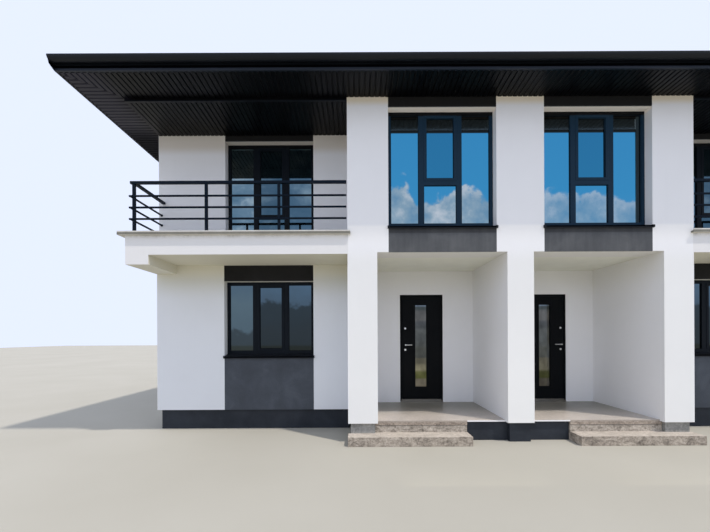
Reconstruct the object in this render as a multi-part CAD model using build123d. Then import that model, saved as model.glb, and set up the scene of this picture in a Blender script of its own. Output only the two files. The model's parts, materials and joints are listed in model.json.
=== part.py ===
from build123d import *
import os
from math import radians, tan

# Two-storey duplex house, two mirrored homes side by side.
# Millimetres, +Z up, street front facing -Y, origin on the ground at the middle of the house.
# Sizes across the house are measured outward from the party wall, set-backs from the front plane.

# Overall sizes
HALF_WIDTH = 6040
DEPTH = 9400
WALL = 400
PARTY_WALL = 404

# Levels above the ground
PLINTH_TOP = 340
PIER_BASE_TOP = 295
STEP_TOP = 137
PORCH_CEILING = 2913
BALCONY_UNDERSIDE = 2890
BALCONY_BEAM_UNDERSIDE = 2742
UPPER_FLOOR = 3185
SOFFIT = 5280
EAVE_HEIGHT = 150
BALCONY_CEILING_DROP = 50

# Plan of the street front
BAY_SETBACK = 860
UPPER_BAY_SETBACK = 940
PORCH_DEPTH = 1640
PORCH_SIDE = 2190
PIER_OUTER = 2645
PLINTH_INSET = 55
PIER_BASE_INSET = 40

# Porch floor and entrance steps
PORCH_EDGE = 110
PORCH_TILE = 20
TILE_NOSING = 20
STEP_END = 800
STEP_PROJECTION = 190

# Windows and balcony doors
REVEAL = 145
PANEL = 20
FRAME_DEPTH = 70
GLASS = 24
MULLION = 82
SASH = 42
SILL_RISE = 60
SILL_LIP = 20
SILL_NOSE = 30
HEAD_PANEL = 145
UPPER_SILL = 3280
TALL_X0 = 364
TALL_WIDTH = 1652
TALL_LIGHT = 437
TALL_FACE = 52
TRANSOM_Z = 3990
TRANSOM = 72
BAY_X0 = 3273
BAY_WIDTH = 1577
BAY_LIGHT = 414
BAY_FACE = 52
BAY_SILL = 1260
BAY_HEAD = 2614
BALCONY_DOOR_RAIL_Z = 3787
BALCONY_DOOR_RAIL = 73
BACK_STRIPS = (700, 3800)
SIDE_STRIP_Y = 0

# Entrance doors
DOOR_X0 = 799
DOOR_WIDTH = 850
DOOR_HEAD = 2447
DOOR_RECESS = 15
DOOR_FRAME_FACE = 28
DOOR_FRAME_DEPTH = 120
DOOR_STOP = 14
THRESHOLD = 30
LEAF_THICKNESS = 60
HINGE_GAP = 6
LOCK_GAP = 12
LEAF_GAP = 7
PANE_X0 = 1117
PANE_WIDTH = 231
PANE_Z0 = 614
PANE_HEIGHT = 1633
KNUCKLE_R = 11
KNUCKLE_LENGTH = 55
KNUCKLE_STANDOFF = 14
HINGE_PLATE = 4
HINGE_PLATE_WIDTH = 28
HINGE_PIN_R = 6
PIN_CLEARANCE = 0.1
HINGE_LEVELS = (620, 1400, 2180)

# Lever handles
LEVER_FROM_EDGE = 64
LEVER_Z = 1451
LEVER_LENGTH = 130
LEVER_R = 9
LEVER_STANDOFF = 52
HUB_R = 13
HUB_HALF = 12
SPINDLE_R = 8
ROSETTE_R = 26
ROSETTE = 8
UPPER_LOCK_Z = 1779
LOWER_LOCK_Z = 1355

# Balconies
BALCONY_TILE = 30
COPING_NOSE = 50
COPING_SIDE = 95
COPING_LAP = 45
BALCONY_BEAM_WIDTH = 353
RAIL_INSET = 84
RAIL_TOP = 4043
RAIL_WIDTH = 50
RAIL_HEIGHT = 40
RAIL_END = 28
POST = 45
POST_SPACING = 1125
ROD_R = 12
ROD_TOP = 3794
ROD_SPACING = 177
ROD_COUNT = 3
ROD_CLEARANCE = 0.3

# Eaves, gutters and roof
EAVE_FRONT = 566
EAVE_SIDE = 591
SOFFIT_BOARD = 20
FASCIA = 25
ATTIC_FLOOR = 150
ROOF_PITCH = 18
ROOF_THICKNESS = 60
GUTTER_R = 62.5
GUTTER_WALL = 3
GUTTER_DROP = 15

FRONT = -DEPTH / 2
BACK = DEPTH / 2
PARTY_HALF = PARTY_WALL / 2
WALL_TOP = SOFFIT + EAVE_HEIGHT
WINDOW_HEAD = SOFFIT - HEAD_PANEL
BALCONY_CEILING = SOFFIT - BALCONY_CEILING_DROP
GUTTER_TOP = WALL_TOP - GUTTER_DROP
BAY_FACE_Y = FRONT + BAY_SETBACK
UPPER_BAY_FACE_Y = FRONT + UPPER_BAY_SETBACK
PORCH_BACK_Y = FRONT + PORCH_DEPTH
DOOR_WALL_BACK = PORCH_BACK_Y + WALL
PORCH_FLOOR = PIER_BASE_TOP + PORCH_TILE
WALL_INNER = HALF_WIDTH - WALL
RETURN_INNER = PIER_OUTER - WALL
BALCONY_FLOOR = UPPER_FLOOR + BALCONY_TILE
STRIP_X1 = BAY_X0 + BAY_WIDTH
TALL_X1 = TALL_X0 + TALL_WIDTH
DOOR_X1 = DOOR_X0 + DOOR_WIDTH
EAVE_X = HALF_WIDTH + EAVE_SIDE
EAVE_Y = DEPTH / 2 + EAVE_FRONT

os.makedirs("parts", exist_ok=True)


def block(x0, x1, y0, y1, z0, z1):
    """An upright box between two corners."""
    centre = Pos((x0 + x1) / 2, (y0 + y1) / 2, (z0 + z1) / 2)
    return centre * Box(x1 - x0, y1 - y0, z1 - z0)


def plan_prism(points, z0, z1):
    """A straight prism over a closed outline drawn in plan."""
    outline = make_face(Polyline(*points, close=True))
    return Pos(0, 0, z0) * extrude(outline, z1 - z0, dir=(0, 0, 1))


def section_prism(points, x0, x1):
    """A straight prism along X over a closed outline given as (y, z) points."""
    outline = make_face(Polyline(*[(x0, y, z) for y, z in points], close=True))
    return extrude(outline, x1 - x0, dir=(1, 0, 0))


def rod(start, end, radius):
    """A round bar from one point to another."""
    along = Vector(*end) - Vector(*start)
    plane = Plane(origin=start, z_dir=along.normalized())
    return plane * Cylinder(radius, along.length, align=(Align.CENTER, Align.CENTER, Align.MIN))


def mirrored(solids):
    """The same pieces on the other side of the party wall."""
    return [mirror(solid, about=Plane.YZ) for solid in solids]


def write(name, solids):
    shape = solids[0] if len(solids) == 1 else Compound(children=list(solids))
    export_step(shape, f"parts/{name}.step")


def write_pair(name, solids):
    """Pieces of the right-hand home and their mirror images, each in a file of its own."""
    write(f"{name}_right", solids)
    write(f"{name}_left", mirrored(solids))


def write_both(name, solids):
    """Pieces of both homes in one file."""
    write(name, list(solids) + mirrored(solids))


# Foundation, plinth and pier bases
FOUNDATION_EDGE = HALF_WIDTH - PLINTH_INSET
foundation = block(
    -FOUNDATION_EDGE, FOUNDATION_EDGE, DOOR_WALL_BACK, BACK - PLINTH_INSET, 0, PLINTH_TOP,
)
under_doors = block(-PIER_OUTER, PIER_OUTER, PORCH_BACK_Y, DOOR_WALL_BACK, 0, PORCH_FLOOR)
beside_porch = block(PIER_OUTER, FOUNDATION_EDGE, PORCH_BACK_Y, DOOR_WALL_BACK, 0, PLINTH_TOP)
write("foundation_slab", [foundation, under_doors, beside_porch] + mirrored([beside_porch]))

PIER_BASE_X0 = PORCH_SIDE + PIER_BASE_INSET
PIER_BASE_X1 = PIER_OUTER - PIER_BASE_INSET
bay_plinth = block(
    PIER_OUTER, FOUNDATION_EDGE, BAY_FACE_Y + PLINTH_INSET, PORCH_BACK_Y, 0, PLINTH_TOP,
)
write_both("bay_plinths", [bay_plinth])

BASE_FRONT = FRONT + PIER_BASE_INSET
outer_base = block(PIER_BASE_X0, PIER_BASE_X1, BASE_FRONT, PORCH_BACK_Y, 0, PIER_BASE_TOP)
write_both("pier_bases", [outer_base])

# Porch bases with the base of the party wall, porch floors and entrance steps
MIDDLE_BASE = PARTY_HALF - PIER_BASE_INSET
RISER_Y = FRONT + PORCH_EDGE
PORCH_BASE_FRONT = RISER_Y + TILE_NOSING
middle_base = block(-MIDDLE_BASE, MIDDLE_BASE, BASE_FRONT, PORCH_BACK_Y, 0, PIER_BASE_TOP)
porch_base = block(
    MIDDLE_BASE, PIER_BASE_X0, PORCH_BASE_FRONT, PORCH_BACK_Y, 0, PIER_BASE_TOP,
)
write("porch_bases", [middle_base, porch_base] + mirrored([porch_base]))

porch_floor = block(
    PARTY_HALF, PORCH_SIDE, RISER_Y - TILE_NOSING, PORCH_BACK_Y, PIER_BASE_TOP, PORCH_FLOOR,
)
write_both("porch_floors", [porch_floor])

STEP_FRONT = FRONT - STEP_PROJECTION
steps = [
    block(STEP_END, PIER_BASE_X0, STEP_FRONT, PORCH_BASE_FRONT, 0, STEP_TOP),
    block(PIER_BASE_X0, PIER_OUTER, STEP_FRONT, BASE_FRONT, 0, STEP_TOP),
    block(STEP_END, PIER_BASE_X0, RISER_Y, PORCH_BASE_FRONT, STEP_TOP, PIER_BASE_TOP),
]
write_both("entrance_steps", steps)

# Ground-floor walls round the porches
outer_pier = block(PORCH_SIDE, PIER_OUTER, FRONT, PORCH_BACK_Y, PIER_BASE_TOP, PORCH_CEILING)
write_both("outer_piers", [outer_pier])

write("party_wall", [
    block(-PARTY_HALF, PARTY_HALF, FRONT, PORCH_BACK_Y, PIER_BASE_TOP, PORCH_CEILING),
    block(-PARTY_HALF, PARTY_HALF, PORCH_BACK_Y, DOOR_WALL_BACK, PORCH_FLOOR, PORCH_CEILING),
    block(-PARTY_HALF, PARTY_HALF, DOOR_WALL_BACK, BACK - WALL, PLINTH_TOP, PORCH_CEILING),
    block(-PARTY_HALF, PARTY_HALF, FRONT + WALL, BACK - WALL, PORCH_CEILING, WALL_TOP),
])

door_wall_inner = block(
    PARTY_HALF, DOOR_X0, PORCH_BACK_Y, DOOR_WALL_BACK, PORCH_FLOOR, PORCH_CEILING,
)
door_wall_outer = block(
    DOOR_X1, PIER_OUTER, PORCH_BACK_Y, DOOR_WALL_BACK, PORCH_FLOOR, PORCH_CEILING,
)
door_lintel = block(DOOR_X0, DOOR_X1, PORCH_BACK_Y, DOOR_WALL_BACK, DOOR_HEAD, PORCH_CEILING)
write_both("door_walls", [door_wall_inner, door_wall_outer, door_lintel])


def windowed_wall(start, end, strips, face_y, z0, z1, levels):
    """A wall of full-height piers, with masonry behind dark panels in its window strips.

    The levels are the closed heights of a strip; what is between them is open.
    """
    masonry, panels = [], []
    left = start
    for x0, x1 in strips:
        masonry.append(block(left, x0, face_y, face_y + WALL, z0, z1))
        for low, high in levels:
            panels.append(block(x0, x1, face_y, face_y + PANEL, low, high))
            masonry.append(block(x0, x1, face_y + PANEL, face_y + WALL, low, high))
        left = x1
    masonry.append(block(left, end, face_y, face_y + WALL, z0, z1))
    return masonry, panels


def three_lights(x0, x1, face_y, z0, z1, face, light, transom_z=None, transom=TRANSOM):
    """A fixed frame with a light on each side and a sash in the middle, and its panes.

    With a transom the sash stops at it, and what is below is a fixed light.
    """
    front = face_y + REVEAL
    pane_front = front + (FRAME_DEPTH - GLASS) / 2
    low, high = z0 + face, z1 - face
    middle0 = x0 + face + light + MULLION
    middle1 = x1 - face - light - MULLION
    sash_low = low if transom_z is None else transom_z + transom
    lights = [
        (x0 + face, x0 + face + light, low, high),
        (x1 - face - light, x1 - face, low, high),
        (middle0 + SASH, middle1 - SASH, sash_low + SASH, high - SASH),
    ]
    if transom_z is not None:
        lights.append((middle0, middle1, low, transom_z))
    frame = block(x0, x1, front, front + FRAME_DEPTH, z0, z1)
    panes = []
    for left, right, bottom, top in lights:
        frame -= block(left, right, front, front + FRAME_DEPTH, bottom, top)
        panes.append(block(left, right, pane_front, pane_front + GLASS, bottom, top))
    return frame.solid(), panes


def window_sill(x0, x1, face_y, z0):
    """A sloping metal sill on its bed, from the frame out past the wall face."""
    return section_prism(
        [
            (face_y - SILL_NOSE, z0),
            (face_y - SILL_NOSE, z0 + SILL_LIP),
            (face_y + REVEAL, z0 + SILL_RISE),
            (face_y + REVEAL + FRAME_DEPTH, z0 + SILL_RISE),
            (face_y + REVEAL + FRAME_DEPTH, z0),
        ],
        x0, x1,
    )


def bay_window(x0, face_y):
    """The ground-floor window: frame, panes and sill."""
    x1 = x0 + BAY_WIDTH
    frame, panes = three_lights(
        x0, x1, face_y, BAY_SILL + SILL_RISE, BAY_HEAD, BAY_FACE, BAY_LIGHT,
    )
    return frame, panes, window_sill(x0, x1, face_y, BAY_SILL)


def tall_window(x0, width, face_y, face, light):
    """An upper-floor window with a fixed light under its sash."""
    frame, panes = three_lights(
        x0, x0 + width, face_y, UPPER_SILL + SILL_RISE, WINDOW_HEAD, face, light, TRANSOM_Z,
    )
    return frame, panes, window_sill(x0, x0 + width, face_y, UPPER_SILL)


def strip_windows(x0, face_y):
    """Both windows of a two-storey strip: frames, panes and sills."""
    pairs = zip(
        bay_window(x0, face_y),
        tall_window(x0, BAY_WIDTH, face_y, BAY_FACE, BAY_LIGHT),
    )
    (lower_frame, upper_frame), (lower_panes, upper_panes), sills = pairs
    return [lower_frame, upper_frame], lower_panes + upper_panes, list(sills)


# Street-front walls with their windows
STRIP_LEVELS = [(PLINTH_TOP, BAY_SILL), (BAY_HEAD, UPPER_SILL), (WINDOW_HEAD, WALL_TOP)]
bay_strip = [(BAY_X0, STRIP_X1)]
lower_masonry, lower_panels = windowed_wall(
    PIER_OUTER, HALF_WIDTH, bay_strip, BAY_FACE_Y, PLINTH_TOP, BALCONY_UNDERSIDE,
    [(PLINTH_TOP, BAY_SILL), (BAY_HEAD, BALCONY_UNDERSIDE)],
)
write_both("bay_walls_lower", lower_masonry)
bay_frame, bay_panes, bay_sill = bay_window(BAY_X0, BAY_FACE_Y)

upper_masonry, balcony_panels = windowed_wall(
    RETURN_INNER, HALF_WIDTH, bay_strip, UPPER_BAY_FACE_Y, UPPER_FLOOR, WALL_TOP,
    [(WINDOW_HEAD, WALL_TOP)],
)
upper_masonry.append(block(
    BAY_X0, STRIP_X1, UPPER_BAY_FACE_Y, UPPER_BAY_FACE_Y + WALL, UPPER_FLOOR, BALCONY_FLOOR,
))
write_both("bay_walls_upper", upper_masonry)
balcony_door_frame, balcony_door_panes = three_lights(
    BAY_X0, STRIP_X1, UPPER_BAY_FACE_Y, BALCONY_FLOOR, WINDOW_HEAD, BAY_FACE, BAY_LIGHT,
    BALCONY_DOOR_RAIL_Z, BALCONY_DOOR_RAIL - SASH,
)

front_masonry, tall_panels = windowed_wall(
    -PIER_OUTER, PIER_OUTER, [(-TALL_X1, -TALL_X0), (TALL_X0, TALL_X1)],
    FRONT, PORCH_CEILING, WALL_TOP, [(PORCH_CEILING, UPPER_SILL), (WINDOW_HEAD, WALL_TOP)],
)
write("upper_front_wall", front_masonry)
tall_frame, tall_panes, tall_sill = tall_window(TALL_X0, TALL_WIDTH, FRONT, TALL_FACE, TALL_LIGHT)

return_wall = block(
    RETURN_INNER, PIER_OUTER, FRONT + WALL, UPPER_BAY_FACE_Y, UPPER_FLOOR, WALL_TOP,
)
write_both("balcony_return_walls", [return_wall])

# Side walls, drawn facing the street and turned a quarter to face +X
quarter = Rot(0, 0, 90)
SIDE_FACE = -HALF_WIDTH
SIDE_X0 = SIDE_STRIP_Y - BAY_WIDTH / 2
UPPER_CORNER_Y = UPPER_BAY_FACE_Y + WALL
side_masonry, side_panels = windowed_wall(
    UPPER_CORNER_Y, BACK - WALL, [(SIDE_X0, SIDE_X0 + BAY_WIDTH)], SIDE_FACE,
    PLINTH_TOP, WALL_TOP, STRIP_LEVELS,
)
side_masonry.append(block(
    BAY_FACE_Y + WALL, UPPER_CORNER_Y, SIDE_FACE, SIDE_FACE + WALL, PLINTH_TOP, UPPER_FLOOR,
))
side_frames, side_panes, side_sills = strip_windows(SIDE_X0, SIDE_FACE)
side_masonry, side_panels, side_frames, side_panes, side_sills = [
    [quarter * piece for piece in group]
    for group in (side_masonry, side_panels, side_frames, side_panes, side_sills)
]
write_both("side_walls", side_masonry)

# Back wall, drawn facing the street and turned half round
half_turn = Rot(0, 0, 180)
right_strips = [(x0, x0 + BAY_WIDTH) for x0 in BACK_STRIPS]
left_strips = [(-x1, -x0) for x0, x1 in reversed(right_strips)]
back_masonry, back_panels = windowed_wall(
    -HALF_WIDTH, HALF_WIDTH, left_strips + right_strips, FRONT, PLINTH_TOP, WALL_TOP, STRIP_LEVELS,
)
back_panels = [half_turn * piece for piece in back_panels]
write("back_wall", [half_turn * piece for piece in back_masonry])
back_frames, back_panes, back_sills = [], [], []
for strip_x0 in BACK_STRIPS:
    windows = strip_windows(strip_x0, FRONT)
    for kept, group in zip((back_frames, back_panes, back_sills), windows):
        kept.extend(half_turn * piece for piece in group)

# Dark panels, window frames, glass and sills
bay_panels = lower_panels + balcony_panels
write("front_dark_panels", tall_panels + bay_panels + mirrored(bay_panels))
write("side_and_back_dark_panels", back_panels + side_panels + mirrored(side_panels))
write_both("front_window_frames", [tall_frame, bay_frame])
write_both("balcony_door_frames", [balcony_door_frame])
write_both("side_and_back_window_frames", side_frames + back_frames)
write_both("front_glazing", tall_panes + bay_panes + balcony_door_panes)
write_both("side_and_back_glazing", side_panes + back_panes)
write_both("window_sills", [tall_sill, bay_sill] + side_sills + back_sills)

# Upper floor and balconies
upper_floor_front = block(
    PARTY_HALF, PIER_OUTER, FRONT + WALL, BAY_FACE_Y + WALL, PORCH_CEILING, UPPER_FLOOR,
)
upper_floor_back = block(
    PARTY_HALF, WALL_INNER, BAY_FACE_Y + WALL, BACK - WALL, PORCH_CEILING, UPPER_FLOOR,
)
write_both("upper_floor_slabs", [upper_floor_front, upper_floor_back])

balcony_slab = block(
    PIER_OUTER, HALF_WIDTH, FRONT, BAY_FACE_Y + WALL, BALCONY_UNDERSIDE, UPPER_FLOOR,
)
write_both("balcony_slabs", [balcony_slab])
balcony_beam = block(
    HALF_WIDTH - BALCONY_BEAM_WIDTH, HALF_WIDTH, FRONT, BAY_FACE_Y,
    BALCONY_BEAM_UNDERSIDE, BALCONY_UNDERSIDE,
)
write_both("balcony_edge_beams", [balcony_beam])

COPING_X = HALF_WIDTH + COPING_SIDE
balcony_floor = block(
    PIER_OUTER, COPING_X, FRONT, UPPER_BAY_FACE_Y, UPPER_FLOOR, BALCONY_FLOOR,
)
balcony_coping = block(
    PIER_OUTER - COPING_LAP, COPING_X, FRONT - COPING_NOSE, FRONT, UPPER_FLOOR, BALCONY_FLOOR,
)
write_both("balcony_floors", [balcony_floor, balcony_coping])

# Balcony railings: square posts and top rail, round rods fixed outside the posts
POST_X = HALF_WIDTH - RAIL_INSET
POST_Y = FRONT + RAIL_INSET
RAIL_BOTTOM = RAIL_TOP - RAIL_HEIGHT
ROD_OUT = POST / 2 + ROD_R


def post(x, y):
    half = POST / 2
    return block(x - half, x + half, y - half, y + half, BALCONY_FLOOR, RAIL_BOTTOM)


rod_levels = [ROD_TOP - level * ROD_SPACING for level in range(ROD_COUNT)]
rail_half = RAIL_WIDTH / 2
front_railing = block(
    PIER_OUTER, POST_X + rail_half + RAIL_END, POST_Y - rail_half, POST_Y + rail_half,
    RAIL_BOTTOM, RAIL_TOP,
)
post_x = POST_X
while post_x > PIER_OUTER + POST:
    front_railing += post(post_x, POST_Y)
    post_x -= POST_SPACING
for level in rod_levels:
    rod_y = POST_Y - ROD_OUT + ROD_R / 2
    front_railing += rod((PIER_OUTER, rod_y, level), (POST_X + ROD_OUT, rod_y, level), ROD_R)
write_both("front_railings", [front_railing.solid()])

side_railing = block(
    POST_X - rail_half, POST_X + rail_half, POST_Y + rail_half, UPPER_BAY_FACE_Y,
    RAIL_BOTTOM, RAIL_TOP,
)
side_rods = []
for level in rod_levels:
    rod_x = POST_X + ROD_OUT + ROD_CLEARANCE
    side_rods.append(rod(
        (rod_x, POST_Y - ROD_OUT + 2 * ROD_R, level), (rod_x, UPPER_BAY_FACE_Y, level), ROD_R,
    ))
write_both("side_railings", [side_railing] + side_rods)

# Eaves: soffits, fascias, balcony ceilings and attic floor
soffit_long = plan_prism(
    [(-EAVE_X + FASCIA, -EAVE_Y + FASCIA), (EAVE_X - FASCIA, -EAVE_Y + FASCIA),
     (HALF_WIDTH, FRONT), (-HALF_WIDTH, FRONT)],
    SOFFIT, SOFFIT + SOFFIT_BOARD,
)
soffit_side = plan_prism(
    [(EAVE_X - FASCIA, -EAVE_Y + FASCIA), (EAVE_X - FASCIA, EAVE_Y - FASCIA),
     (HALF_WIDTH, BACK), (HALF_WIDTH, FRONT)],
    SOFFIT, SOFFIT + SOFFIT_BOARD,
)
soffits = [soffit_long, half_turn * soffit_long, soffit_side] + mirrored([soffit_side])
write("eave_soffits", soffits)

fascia_long = block(-EAVE_X, EAVE_X, -EAVE_Y, -EAVE_Y + FASCIA, SOFFIT, WALL_TOP)
fascia_side = block(EAVE_X - FASCIA, EAVE_X, -EAVE_Y + FASCIA, EAVE_Y - FASCIA, SOFFIT, WALL_TOP)
fascias = [fascia_long, half_turn * fascia_long, fascia_side] + mirrored([fascia_side])
write("fascias", fascias)

balcony_ceiling = block(PIER_OUTER, HALF_WIDTH, FRONT, UPPER_BAY_FACE_Y, BALCONY_CEILING, WALL_TOP)
write_both("balcony_ceilings", [balcony_ceiling])
attic_floor = block(-HALF_WIDTH, HALF_WIDTH, FRONT, BACK, WALL_TOP, WALL_TOP + ATTIC_FLOOR)
write("attic_floor", [attic_floor])

# Hip roof: four mitred slopes of one pitch
RISE = tan(radians(ROOF_PITCH))
RIDGE_HALF = EAVE_X - EAVE_Y
RIDGE_Z = WALL_TOP + EAVE_Y * RISE


def slope_section(run):
    """Section of a slope of a given run, up from the eave to the ridge line."""
    return [
        (-run, WALL_TOP),
        (0, WALL_TOP + run * RISE),
        (0, WALL_TOP + run * RISE + ROOF_THICKNESS),
        (-run, WALL_TOP + ROOF_THICKNESS),
    ]


front_plan = [(-EAVE_X, -EAVE_Y), (EAVE_X, -EAVE_Y), (RIDGE_HALF, 0), (-RIDGE_HALF, 0)]
ROOF_CUT_TOP = RIDGE_Z + 2 * ROOF_THICKNESS
front_slope = section_prism(slope_section(EAVE_Y), -EAVE_X, EAVE_X)
front_slope = front_slope & plan_prism(front_plan, 0, ROOF_CUT_TOP)
write("roof_slope_front", [front_slope.solid()])
write("roof_slope_back", [half_turn * front_slope.solid()])

side_slope = Pos(RIDGE_HALF, 0, 0) * quarter * section_prism(slope_section(EAVE_Y), -EAVE_Y, EAVE_Y)
side_plan = [(EAVE_X, -EAVE_Y), (EAVE_X, EAVE_Y), (RIDGE_HALF, 0)]
side_slope = side_slope & plan_prism(side_plan, 0, ROOF_CUT_TOP)
write_pair("roof_slope", [side_slope.solid()])

# Half-round gutters along the front and back eaves
GUTTER_Y = -EAVE_Y - GUTTER_R


def half_round(radius, x0, x1):
    """The lower half of a round bar along the eave."""
    bar = rod((x0, GUTTER_Y, GUTTER_TOP), (x1, GUTTER_Y, GUTTER_TOP), radius)
    return bar & block(x0, x1, GUTTER_Y - radius, GUTTER_Y + radius, GUTTER_TOP - radius, GUTTER_TOP)


gutter = half_round(GUTTER_R, -EAVE_X, EAVE_X)
gutter -= half_round(GUTTER_R - GUTTER_WALL, -EAVE_X + GUTTER_WALL, EAVE_X - GUTTER_WALL)
write("gutters", [gutter.solid(), half_turn * gutter.solid()])

# Entrance doors
FRAME_Y = PORCH_BACK_Y + DOOR_RECESS
LEAF_X0 = DOOR_X0 + DOOR_FRAME_FACE + HINGE_GAP
LEAF_X1 = DOOR_X1 - DOOR_FRAME_FACE - LOCK_GAP
LEAF_Z0 = PLINTH_TOP + THRESHOLD + LEAF_GAP
LEAF_Z1 = DOOR_HEAD - DOOR_FRAME_FACE - LEAF_GAP
STOP_Y = FRAME_Y + LEAF_THICKNESS + LEAF_GAP
FRAME_BACK = FRAME_Y + DOOR_FRAME_DEPTH
AXIS_X = LEAF_X0 - HINGE_GAP / 2
AXIS_Y = FRAME_Y - KNUCKLE_STANDOFF
HEAD_Z = DOOR_HEAD - DOOR_FRAME_FACE
PLATE_BACK = FRAME_Y
PLATE_FRONT = FRAME_Y - HINGE_PLATE


def hinge_half(z0, x_far):
    """One knuckle with its plate, from the axis to the given X."""
    near, far = sorted((AXIS_X, x_far))
    knuckle = rod((AXIS_X, AXIS_Y, z0), (AXIS_X, AXIS_Y, z0 + KNUCKLE_LENGTH), KNUCKLE_R)
    plate = block(near, far, PLATE_FRONT, PLATE_BACK, z0, z0 + KNUCKLE_LENGTH)
    web = block(
        AXIS_X - HINGE_PLATE if x_far < AXIS_X else AXIS_X,
        AXIS_X if x_far < AXIS_X else AXIS_X + HINGE_PLATE,
        AXIS_Y, PLATE_BACK, z0, z0 + KNUCKLE_LENGTH,
    )
    return knuckle + plate + web


hinge_jamb = block(DOOR_X0, DOOR_X0 + DOOR_FRAME_FACE, FRAME_Y, FRAME_BACK, PLINTH_TOP, DOOR_HEAD)
hinge_jamb += block(
    DOOR_X0, LEAF_X0 + DOOR_STOP, STOP_Y, FRAME_BACK, PLINTH_TOP + THRESHOLD, HEAD_Z,
)
for level in HINGE_LEVELS:
    hinge_jamb += hinge_half(level, AXIS_X - HINGE_PLATE_WIDTH)
    hinge_jamb += rod(
        (AXIS_X, AXIS_Y, level), (AXIS_X, AXIS_Y, level + 2 * KNUCKLE_LENGTH - HINGE_PIN_R),
        HINGE_PIN_R,
    )
lock_jamb = block(DOOR_X1 - DOOR_FRAME_FACE, DOOR_X1, FRAME_Y, FRAME_BACK, PLINTH_TOP, DOOR_HEAD)
lock_jamb += block(
    LEAF_X1 - DOOR_STOP, DOOR_X1, STOP_Y, FRAME_BACK, PLINTH_TOP + THRESHOLD, HEAD_Z,
)

door_head = block(
    DOOR_X0 + DOOR_FRAME_FACE, DOOR_X1 - DOOR_FRAME_FACE, FRAME_Y, FRAME_BACK, HEAD_Z, DOOR_HEAD,
)
threshold = block(
    DOOR_X0 + DOOR_FRAME_FACE, DOOR_X1 - DOOR_FRAME_FACE, FRAME_Y, FRAME_BACK,
    PLINTH_TOP, PLINTH_TOP + THRESHOLD,
)
write_both("door_frames", [hinge_jamb.solid(), lock_jamb.solid(), door_head])
door_sill = block(DOOR_X0, DOOR_X1, PORCH_BACK_Y, DOOR_WALL_BACK, PORCH_FLOOR, PLINTH_TOP)
write_both("door_thresholds", [threshold, door_sill])

LEAF_BACK = FRAME_Y + LEAF_THICKNESS
LEVER_X = LEAF_X1 - LEVER_FROM_EDGE
leaf = block(LEAF_X0, LEAF_X1, FRAME_Y, LEAF_BACK, LEAF_Z0, LEAF_Z1)
leaf -= block(
    PANE_X0, PANE_X0 + PANE_WIDTH, FRAME_Y, LEAF_BACK, PANE_Z0, PANE_Z0 + PANE_HEIGHT,
)
for level in HINGE_LEVELS:
    leaf += hinge_half(level + KNUCKLE_LENGTH + 1, AXIS_X + HINGE_PLATE_WIDTH)
    leaf -= rod(
        (AXIS_X, AXIS_Y, level + KNUCKLE_LENGTH), (AXIS_X, AXIS_Y, level + 2 * KNUCKLE_LENGTH),
        HINGE_PIN_R + PIN_CLEARANCE,
    )
for height in (UPPER_LOCK_Z, LEVER_Z, LOWER_LOCK_Z):
    leaf += rod(
        (LEVER_X, FRAME_Y - ROSETTE, height), (LEVER_X, FRAME_Y, height), ROSETTE_R,
    )
leaf -= rod(
    (LEVER_X, FRAME_Y - ROSETTE, LEVER_Z), (LEVER_X, LEAF_BACK, LEVER_Z),
    SPINDLE_R + PIN_CLEARANCE,
)
write_pair("door_leaf", [leaf.solid()])
pane_y = FRAME_Y + (LEAF_THICKNESS - GLASS) / 2
pane = block(
    PANE_X0, PANE_X0 + PANE_WIDTH, pane_y, pane_y + GLASS, PANE_Z0, PANE_Z0 + PANE_HEIGHT,
)
write_pair("door_pane", [pane])

GRIP_Y = FRAME_Y - LEVER_STANDOFF
INNER_GRIP_Y = LEAF_BACK + LEVER_STANDOFF
lever = rod((LEVER_X, GRIP_Y, LEVER_Z), (LEVER_X, INNER_GRIP_Y, LEVER_Z), SPINDLE_R)
for grip_y in (GRIP_Y, INNER_GRIP_Y):
    lever += rod((LEVER_X, grip_y, LEVER_Z), (LEVER_X - LEVER_LENGTH, grip_y, LEVER_Z), LEVER_R)
    lever += rod(
        (LEVER_X, grip_y - HUB_HALF, LEVER_Z), (LEVER_X, grip_y + HUB_HALF, LEVER_Z), HUB_R,
    )
write_pair("door_lever", [lever.solid()])

print("ridge height", round(RIDGE_Z + ROOF_THICKNESS, 1))
print("hinge axis", AXIS_X, AXIS_Y, "lever axis", LEVER_X, LEVER_Z)
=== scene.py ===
import json
import math
import bpy
import bmesh
from mathutils import Matrix, Vector


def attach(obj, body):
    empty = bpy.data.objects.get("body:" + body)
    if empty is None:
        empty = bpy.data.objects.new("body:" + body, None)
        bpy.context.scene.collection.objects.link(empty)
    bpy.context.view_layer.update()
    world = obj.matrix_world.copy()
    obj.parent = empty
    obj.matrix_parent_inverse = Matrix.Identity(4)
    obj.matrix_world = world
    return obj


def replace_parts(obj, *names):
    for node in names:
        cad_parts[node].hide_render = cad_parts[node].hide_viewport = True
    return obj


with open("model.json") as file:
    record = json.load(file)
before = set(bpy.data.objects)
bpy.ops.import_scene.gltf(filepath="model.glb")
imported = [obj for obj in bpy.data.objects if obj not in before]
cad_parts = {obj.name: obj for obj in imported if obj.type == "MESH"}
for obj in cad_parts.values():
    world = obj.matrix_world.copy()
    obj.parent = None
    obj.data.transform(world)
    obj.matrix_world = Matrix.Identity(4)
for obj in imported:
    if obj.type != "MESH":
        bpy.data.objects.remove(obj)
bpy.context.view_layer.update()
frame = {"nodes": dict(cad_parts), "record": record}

# Metres, the same frame as the solids: street front at the -Y side, origin on the ground.
HALF_WIDTH = 6.040
FRONT = -4.700
BACK = 4.700
PIER_OUTER = 2.645
UPPER_BAY_Y = -3.760
UPPER_SLAB = 2.915
WALL_TOP = 5.430
REVEAL = 0.145

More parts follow.
